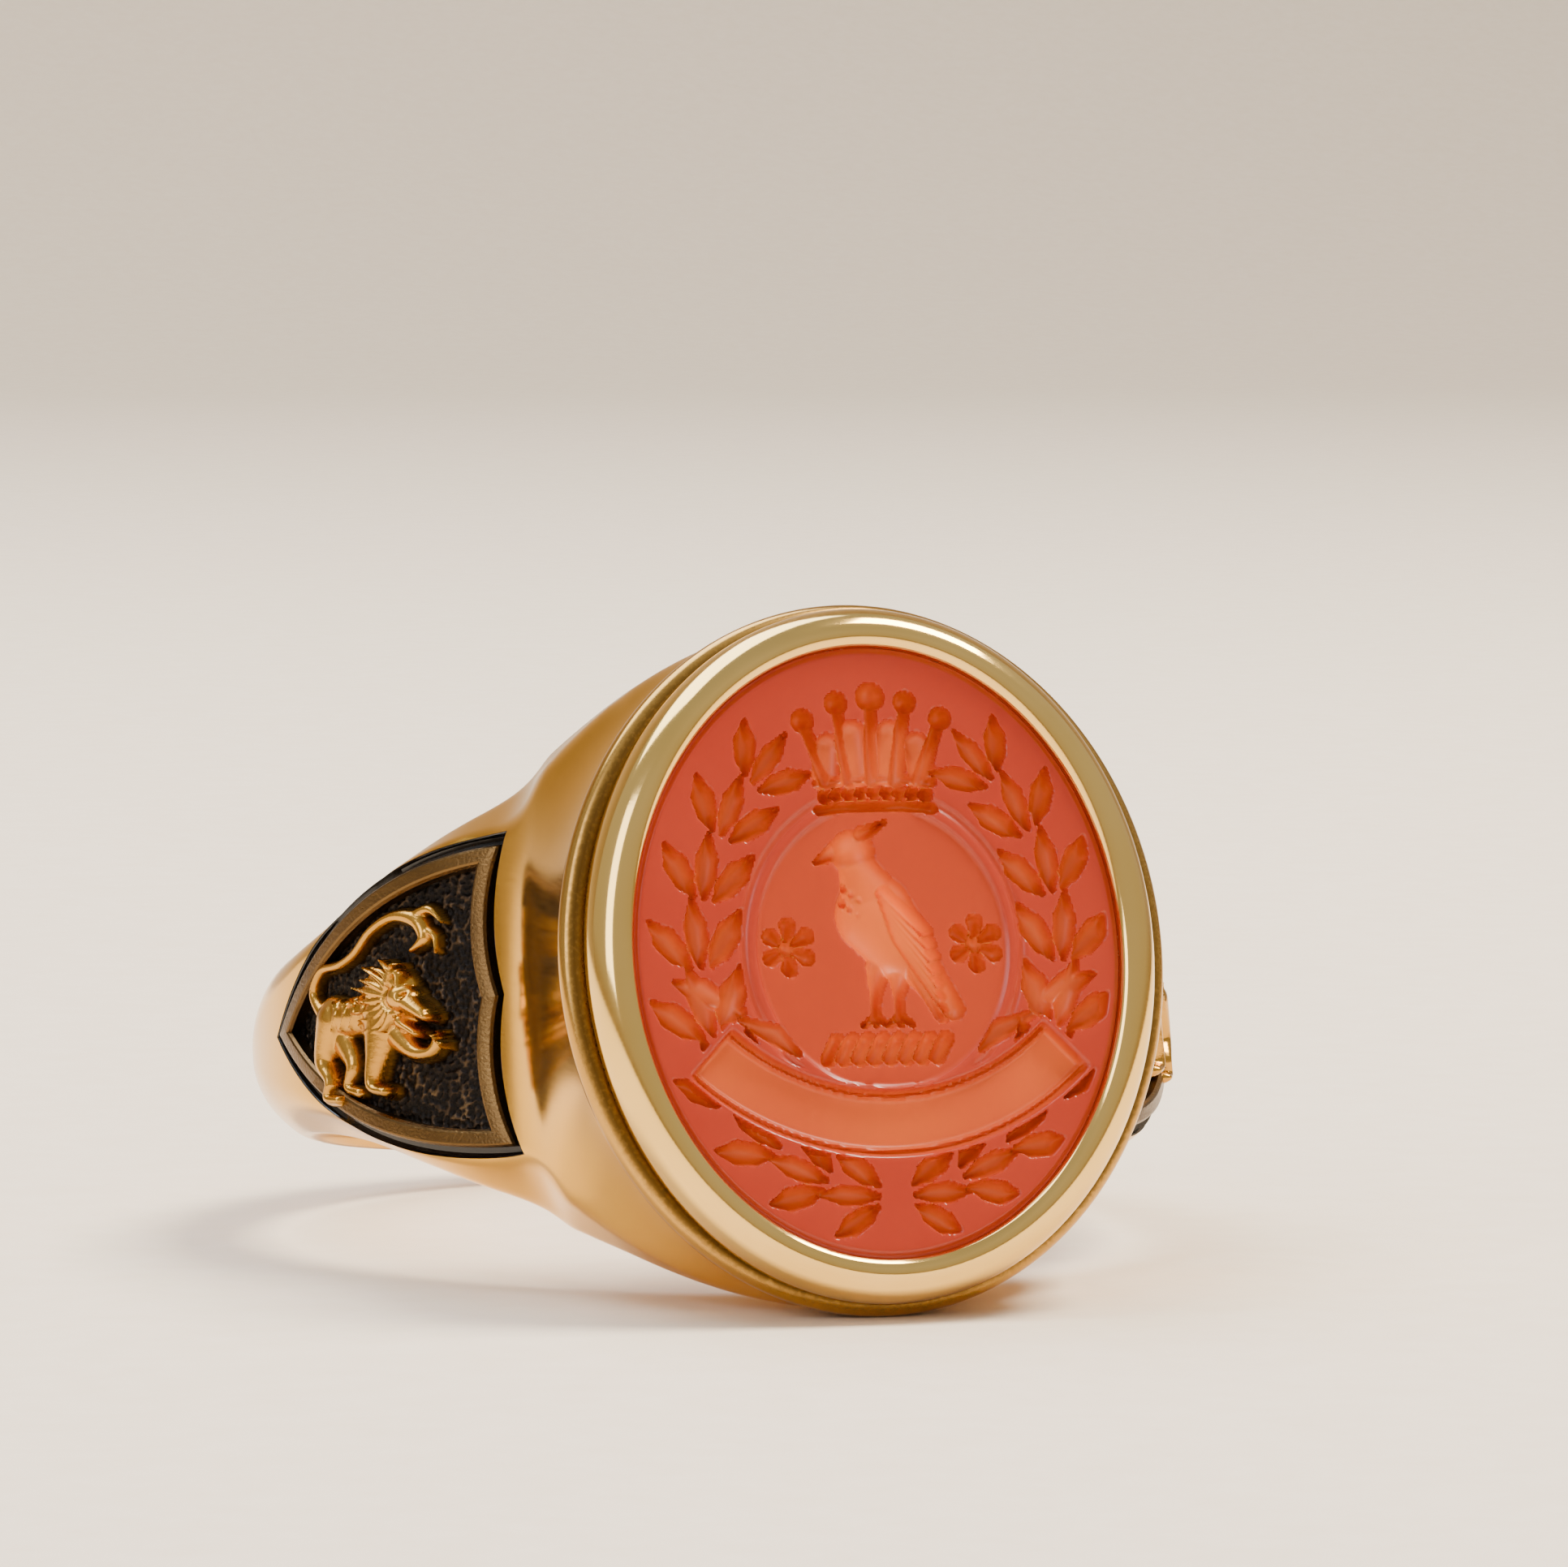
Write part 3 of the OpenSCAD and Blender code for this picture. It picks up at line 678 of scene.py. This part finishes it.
def ovalSweep(name, oval, profile, material, sharp=35):
    # profile is a closed loop of (offset, height, darkening: partly patina, partly painted shade)
    count = len(profile)
    flat = bpy.data.meshes.new(name)
    flat.from_pydata([(p[0], p[1], 0) for p in profile], [(k, (k + 1) % count) for k in range(count)], [])
    flat.attributes.new("patinaAndShade", "FLOAT", "POINT").data.foreach_set("value", [p[2] for p in profile])
    piece = bpy.data.objects.new(name, flat)
    bpy.context.collection.objects.link(piece)
    sweep = piece.modifiers.new("sweep", "NODES")
    sweep.node_group = sweepTree
    sockets = {s.name: s.identifier for s in sweepTree.interface.items_tree if s.in_out == "INPUT"}
    for key, value in (("Half Width", oval[0]), ("Half Length", oval[1]), ("Steps", setting["around"]),
                       ("Material", material)):
        sweep[sockets[key]] = value
    mesh = bpy.data.meshes.new_from_object(piece.evaluated_get(bpy.context.evaluated_depsgraph_get()))
    piece.modifiers.remove(sweep)
    points = np.array([v.co[:] for v in mesh.vertices])[:, [0, 2, 1]]
    mesh.vertices.foreach_set("co", layDown(points).ravel())
    mesh.update()
    mesh.shade_smooth()
    mesh.set_sharp_from_angle(angle=math.radians(sharp))
    piece.data = mesh
    return piece


def bearingPiece():
    near, far, low, high = setting["bearing"]
    loop = [(near, high, 0), (far, high, 0), (far, low, 0), (near, low, 0)]
    return ovalSweep("bearing_gold", setting["window"], loop, goldBearing)


def mouldingPiece():
    # a half-round wire, darkened where it meets the head and the collet: partly patina, partly painted shade
    # in the crevices
    radius, middle, steps = setting["mouldingRadius"], setting["moulding"], setting["mouldingSteps"]
    loop = [(-0.56, middle + radius - 0.02, 0), (-0.56, middle - radius + 0.02, 0)]
    for k in range(steps + 1):
        a = math.radians(-90 + 180 * k / steps)
        loop.append((setting["mouldingOut"] + radius * math.cos(a), middle + radius * math.sin(a),
                     0.75 * abs(math.sin(a))**3))
    return ovalSweep("moulding_gold", setting["head"], loop[::-1], goldWire)


# ---------- intaglio ----------
carving = dict(
    leaves=9, leafStep=16.6, leafStart=-84, spray=(4.3, 5.45),       # sprays run round this oval
    field=(0.12, 0.1), fieldSize=(3.05, 3.35), fieldDepth=0.09,      # the sunk oval: centre, half sizes
    ribbonCentre=(0.15, 2.1), ribbonRadius=6.02, ribbonHalf=0.8, ribbonDepth=0.24, ribbonEnd=45,
    flowers=((-2.1, 0.15), (2.35, 0.15)),
)


def leaf(x, z, heading, length, wide, depth):
    c, s = math.cos(heading), math.sin(heading)
    return (depth, [(x, z, 0.07), (x + 0.3 * length * c, z + 0.3 * length * s, wide * 0.9),
                    (x + 0.6 * length * c, z + 0.6 * length * s, wide),
                    (x + length * c, z + length * s, 0.05)])


def wreath():
    # two sprays of plain leaves that rise from the foot to the coronet
    shapes = []
    for side in (-1, 1):
        for k in range(carving["leaves"]):
            t = math.radians(carving["leafStart"] + carving["leafStep"] * k)
            acrossHalf, upHalf = carving["spray"]
            x, z = acrossHalf * math.cos(t), upHalf * math.sin(t) - 0.15
            heading = math.atan2(upHalf * math.cos(t), -acrossHalf * math.sin(t))
            grow = 1.08 - 0.045 * abs(k - 4)
            for spread, offset, size, wide in ((-0.7, 0.26, 1.35, 0.29), (0.55, -0.26, 1.4, 0.3),
                                               (-0.08, 0.0, 1.5, 0.27)):
                h = heading + spread
                bx, bz = x + offset * math.cos(t), z + offset * math.sin(t)
                shapes.append(leaf(side * bx + 0.1, bz, h if side > 0 else math.pi - h, size * grow,
                                   wide * grow, 0.42 if offset else 0.34))
    return shapes


def coronet():
    # a rim set with pearls, a low cap and five rays that end in balls
    shapes = [(0.3, [(-1.0, 4.1, 0.34), (-0.9, 4.75, 0.3)]), (0.34, [(-0.25, 4.1, 0.36), (-0.3, 5.0, 0.34)]),
              (0.34, [(0.55, 4.1, 0.36), (0.6, 5.0, 0.34)]), (0.3, [(1.3, 4.1, 0.34), (1.2, 4.75, 0.3)])]
    for k in range(-2, 3):
        foot, tip = (0.15 + 0.56 * k, 3.95), (0.15 + 0.82 * k, 5.85 - 0.13 * k * k)
        shapes.append((0.48, [foot + (0.2,), ((foot[0] + tip[0]) / 2, (foot[1] + tip[1]) / 2, 0.15),
                              tip + (0.13,)]))
        shapes.append((0.55, [tip + (0.27 if k else 0.34,)]))
    for k in range(-4, 5):
        a = 0.3 * k
        shapes.append((0.52, [(0.15 + a, 3.66 - 0.05 * a * a, 0.17)]))
    for z in (3.36, 3.98):
        shapes.append((0.4, [(-1.2, z - 0.1, 0.13), (-0.5, z, 0.13), (0.8, z, 0.13), (1.5, z - 0.1, 0.13)]))
    return shapes


def bird():
    # a standing bird with its wing closed, on a twisted bar
    shapes = [
        (0.52, [(0.55, 0.1, 0.8), (0.0, 0.85, 0.95)]),
        (0.48, [(-0.05, 1.1, 0.8), (-0.35, 1.95, 0.46)]),
        (0.55, [(-0.45, 2.3, 0.52)]),
        (0.46, [(-0.85, 2.32, 0.24), (-1.35, 2.08, 0.06)]),
        (0.42, [(-0.2, 2.7, 0.2), (0.35, 2.98, 0.05)]),
        (0.4, [(0.8, -0.1, 0.55), (1.75, -1.35, 0.26)]),
        (0.44, [(0.85, -0.2, 0.3), (1.45, -1.5, 0.16)]),
        (0.38, [(0.0, -0.35, 0.3), (-0.1, -1.05, 0.13), (-0.12, -1.5, 0.12)]),
        (0.38, [(0.5, -0.5, 0.3), (0.46, -1.05, 0.13), (0.46, -1.5, 0.12)]),
    ]
    for k in range(7):
        shapes.append((0.62, [(0.3 + 0.05 * k, 1.4 - 0.17 * k, 0.2), (1.25 + 0.07 * k, 0.45 - 0.3 * k, 0.1)]))
    for k in range(6):
        row, column = k // 3, k % 3
        shapes.append((0.55, [(-0.62 + 0.2 * column - 0.05 * row, 1.5 - 0.35 * row - 0.12 * column, 0.14)]))
    for foot in (-0.12, 0.46):
        for toe in (-0.3, 0.0, 0.28):
            shapes.append((0.36, [(foot, -1.48, 0.1), (foot + toe, -1.68, 0.07)]))
    for k in range(8):
        shapes.append((0.46, [(-1.3 + 0.37 * k, -2.42, 0.19), (-1.08 + 0.37 * k, -2.02, 0.19)]))
    return shapes


def flower(cx, cz):
    shapes = [(0.45, [(cx, cz, 0.2)])]
    for k in range(6):
        a = math.radians(60 * k + 30)
        shapes.append((0.4, [(cx + 0.24 * math.cos(a), cz + 0.24 * math.sin(a), 0.12),
                             (cx + 0.48 * math.cos(a), cz + 0.48 * math.sin(a), 0.2)]))
    return shapes


def engraved(x, z):
    # how deep the stone is cut at each point
    sprays = np.maximum(carve(x, z, wreath()), 0)
    # a sunk oval field with a soft rim round it
    centre, half = carving["field"], carving["fieldSize"]
    oval = np.hypot((x - centre[0]) / half[0], (z - centre[1]) / half[1])
    inside = smoothStep((1.0 - oval) / 0.05)
    rim = 0.07 * np.exp(-((oval - 1.08) / 0.03)**2)
    flowers = [stroke for spot in carving["flowers"] for stroke in flower(*spot)]
    motif = np.maximum(carve(x, z, coronet() + bird() + flowers), 0)
    depth = np.maximum(sprays * (1 - inside), motif + carving["fieldDepth"] * inside)
    # a blank ribbon: a wide hollow band that hangs in a curve, with hemmed edges and folded ends
    hub, end = carving["ribbonCentre"], carving["ribbonEnd"]
    turn = np.degrees(np.arctan2(x - hub[0], hub[1] - z))
    across = (np.hypot(x - hub[0], z - hub[1]) - carving["ribbonRadius"]) / carving["ribbonHalf"]
    ends = smoothStep((end - np.abs(turn)) / 2)
    body = carving["ribbonDepth"] * smoothStep((1 - np.abs(across)) / 0.2) * ends
    hem = 0.12 * np.exp(-((np.abs(across) - 0.74) / 0.06)**2)
    roll = 0.05 * np.cos(np.radians(turn * 8)) + 0.06 * (1 - across**2)
    ribbon = np.where(body > 0.14, body - hem + roll, body)
    tails = carve(x, z, [(0.34, [(-3.3, -1.3, 0.12), (-4.2, -0.85, 0.34), (-4.85, -0.6, 0.06)]),
                         (0.34, [(3.6, -1.3, 0.12), (4.5, -0.85, 0.34), (5.1, -0.62, 0.06)]),
                         (0.3, [(-3.3, -1.5, 0.1), (-2.5, -1.85, 0.26), (-2.0, -2.3, 0.08)]),
                         (0.3, [(3.6, -1.5, 0.1), (2.8, -1.85, 0.26), (2.3, -2.3, 0.08)])])
    # nothing else is cut where the ribbon lies
    clear = smoothStep((np.abs(across) - 1.04) / 0.05) + smoothStep(np.abs(turn) - end - 0.5)
    clear = np.clip(clear, 0, 1)
    return np.maximum(np.maximum(depth * clear, rim * clear), np.maximum(ribbon, tails))


def stonePiece():
    # a square grid pressed into the oval, closed by a stepped girdle and a flat base
    n = setting["stoneGrid"]
    window = setting["window"]
    s = np.linspace(-1, 1, n)
    a, b = np.meshgrid(s, s, indexing="ij")
    x = a * np.sqrt(1 - b * b / 2)
    z = b * np.sqrt(1 - a * a / 2)
    x, z = x * (window[0] - 0.005), z * (window[1] - 0.005)
    rim = np.hypot(x / window[0], z / window[1])
    depth = engraved(x, z) * smoothStep((0.965 - rim) / 0.03)
    edge = setting["bevel"] * smoothStep((rim - 0.975) / 0.02)
    top = np.stack([x, -(setting["stoneTop"] - depth - edge), z], -1).reshape(-1, 3)
    ring = np.concatenate([np.arange(n) * n, (n - 1) * n + np.arange(1, n),
                           np.arange(n - 2, -1, -1) * n + n - 1, np.arange(n - 2, 0, -1)])
    points, faces = [top], gridFaces(n, n, flip=True)
    last, start = ring, n * n
    for grow, height in ((0.0, 14.8), (0.28, 14.78), (0.29, 13.4), (0.1, 13.36)):
        k = (window[0] + grow) / window[0], (window[1] + grow) / window[1]
        loop = np.stack([top[ring, 0] * k[0], 0 * ring - height, top[ring, 2] * k[1]], -1)
        points.append(loop)
        here = np.arange(start, start + len(ring))
        faces += np.stack([last, here, np.roll(here, -1), np.roll(last, -1)], 1).tolist()
        last, start = here, start + len(ring)
    faces.append(last.tolist())
    points = np.concatenate(points)
    cut = np.zeros(len(points))
    cut[:n * n] = smoothStep(depth.ravel() / 0.12)
    # paintedGlow: the deeper the cut, the paler and more orange its colour, painted light for light through
    # the thinner stone
    paintedGlow = np.full(len(points), 0.4)
    paintedGlow[:n * n] = np.clip(depth.ravel() * 1.6 - 0.05, 0, 1)
    return makePiece("carnelian_gem", points, faces, stoneMaterial, 60, {"cut": cut, "paintedGlow": paintedGlow})


# ---------- put together ----------
def cutPockets(piece):
    # an exact boolean sinks each shield's outline into the shoulders
    for side in (-1, 1):
        outline = shieldOutline(0.0)
        low = onShoulder(outline[:, 0], outline[:, 1], shield["pocketRadius"], side)
        high = onShoulder(outline[:, 0], outline[:, 1], shield["cutterTop"], side)
        count = len(outline)
        faces = gridFaces(2, count, False, True, flip=side > 0)
        middle = onShoulder(np.array([shield["middle"]] * 2), np.zeros(2),
                            np.array([shield["pocketRadius"], shield["cutterTop"]]), side)
        around = np.arange(count)
        after = (around + 1) % count
        under = np.stack([after, around, 0 * around + 2 * count], 1)
        over = np.stack([around + count, after + count, 0 * around + 2 * count + 1], 1)
        caps = np.concatenate([under, over])
        faces += (caps[:, ::-1] if side > 0 else caps).tolist()
        cutter = makePiece("cutter", np.concatenate([low, high, middle]), faces, goldShank)
        step = piece.modifiers.new("pocket", "BOOLEAN")
        step.operation, step.solver, step.object = "DIFFERENCE", "EXACT", cutter
        bpy.context.view_layer.update()
        cut = bpy.data.meshes.new_from_object(piece.evaluated_get(bpy.context.evaluated_depsgraph_get()))
        piece.modifiers.remove(step)
        piece.data = cut
        bpy.data.objects.remove(cutter)
    piece.data.set_sharp_from_angle(angle=math.radians(30))
    return piece


def standIn(piece, node):
    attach(piece, "root")
    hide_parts(node)
    print(node, len(piece.data.polygons), "faces")


standIn(cutPockets(shankPiece()), "shank")
collet = ovalSweep("collet_gold", setting["window"], setting["collet"], goldCollet)
standIn(collet, "bezel_wall")
standIn(mouldingPiece(), "base_moulding")
standIn(bearingPiece(), "bearing_ring")
standIn(stonePiece(), "carnelian_stone")

bottom, fill, top = shield["pocketRadius"] + 0.01, shield["fillRadius"], shield["borderRadius"]
wallTop = np.maximum(shoulderSurface(shieldOutline(0.0)) - 0.02, fill + 0.06)
inner, outer = shield["channel"] + shield["border"], shield["channel"]
for word, side in (("left", -1), ("right", 1)):
    channel = [(0.004, bottom, 0), (0.004, wallTop, 0), (0.03, wallTop - 0.02, 0),
               (0.05, fill + 0.02, 0), (0.13, fill - 0.02, 0),
               (0.21, fill, 0), (outer + 0.03, fill + 0.02, 0), (outer + 0.03, bottom, 0)]
    enamel = shieldBand(word + "_enamel", side, channel, enamelMaterial)
    standIn(enamel, word + "_shield_enamel")
    # the border's walls darken towards the pocket's floor: painted shade down the walls, partly patina
    frameLoop = [(outer, bottom + 0.15, 1), (outer, top - 0.07, 0.3), (outer + 0.04, top - 0.015, 0),
                 (outer + 0.08, top, 0), (inner - 0.1, top, 0), (inner - 0.05, top - 0.02, 0),
                 (inner, top - 0.09, 0), (inner, bottom + 0.15, 1)]
    border = shieldBand(word + "_border", side, frameLoop, goldBorder, 20)
    standIn(border, word + "_shield_border")
    ground = shieldPatch(word + "_ground", side, punched,
                         lambda u, v, h: shieldField(u, v) < -shield["groundInset"],
                         bottom, groundMaterial, "raised")
    standIn(ground, word + "_shield_plaque")
    animal = shieldPatch(word + "_beast", side, beastHeight, lambda u, v, h: h > -0.07,
                         bottom + 0.1, goldRelief, "patinaAndShade")
    standIn(animal, word + "_shield_beast")


# ---------- floor and light ----------
def floorMaterial():
    # pale matt card
    material, tree = newMaterial("pale_matt_card")
    place = addNode(tree, "ShaderNodeTexCoord").outputs["Object"]
    fibre = addNode(tree, "ShaderNodeTexNoise", {"Scale": 900.0, "Detail": 4.0}, {"Vector": place})
    colour = addNode(tree, "ShaderNodeMix",
                     {"data_type": "RGBA", 6: linear("#EAD8C0"), 7: linear("#F2E4D0")},
                     {0: fibre.outputs["Fac"]})
    shader = addNode(tree, "ShaderNodeBsdfPrincipled", {"Roughness": 0.75}, {"Base Color": colour.outputs[2]})
    finishMaterial(tree, shader)
    return material


def addFloor():
    # flat under the ring, then curved up into a back wall
    mesh = bpy.data.meshes.new("floor")
    level = cadBox[0][2]
    curve = [(0.5 + 0.3 * math.sin(a), 0.3 - 0.3 * math.cos(a)) for a in np.linspace(0.1, 1.5, 12)]
    rows = []
    for y, z in [(-1.5, 0), (0.5, 0)] + curve + [(0.8, 1.2)]:
        rows += [(-1.6, y, level + z), (1.6, y, level + z)]
    mesh.from_pydata(rows, [], gridFaces(len(rows) // 2, 2, flip=True))
    mesh.materials.append(floorMaterial())
    mesh.shade_smooth()
    floor = bpy.data.objects.new("floor", mesh)
    bpy.context.collection.objects.link(floor)


def addLight(name, place, size, power, colour, aim=(0, -0.005, 0)):
    light = bpy.data.lights.new(name, "AREA")
    light.shape, light.size, light.size_y = "RECTANGLE", size[0], size[1]
    light.energy, light.color = power, linear(colour)[:3]
    lamp = bpy.data.objects.new(name, light)
    bpy.context.collection.objects.link(lamp)
    lamp.matrix_world = aimed(place, aim)


def addWorld():
    # a pale room that warms and darkens towards the horizon
    world = bpy.data.worlds.new("studio")
    bpy.context.scene.world = world
    world.use_nodes = True
    tree = world.node_tree
    tree.nodes.clear()
    around = addNode(tree, "ShaderNodeTexCoord")
    way = addNode(tree, "ShaderNodeSeparateXYZ", links={0: around.outputs["Generated"]})
    height = addNode(tree, "ShaderNodeMapRange", {"From Min": -1.0, "From Max": 1.0},
                     {"Value": way.outputs["Z"]})
    ramp = setRamp(addNode(tree, "ShaderNodeValToRGB", links={"Fac": height.outputs[0]}),
                   [(0.0, "#D8B684"), (0.46, "#8E6A46"), (0.51, "#CDB28A"), (0.57, "#F0E6D4"),
                    (0.75, "#F6F3EE"), (1.0, "#DEDEDC")])
    sky = addNode(tree, "ShaderNodeBackground", {"Strength": 0.72}, {"Color": ramp.outputs[0]})
    addNode(tree, "ShaderNodeOutputWorld", links={"Surface": sky.outputs[0]})


addFloor()
addWorld()
addLight("key", (0.22, -0.03, 0.42), (0.2, 0.2), 5.0, "#FFF4E2")
addLight("overhead", (-0.14, 0.16, 0.46), (0.5, 0.3), 3.5, "#EAF1FF")
addLight("fill", (-0.42, -0.3, 0.25), (0.25, 0.3), 1.3, "#F4F4FF")
print("floor and light placed")
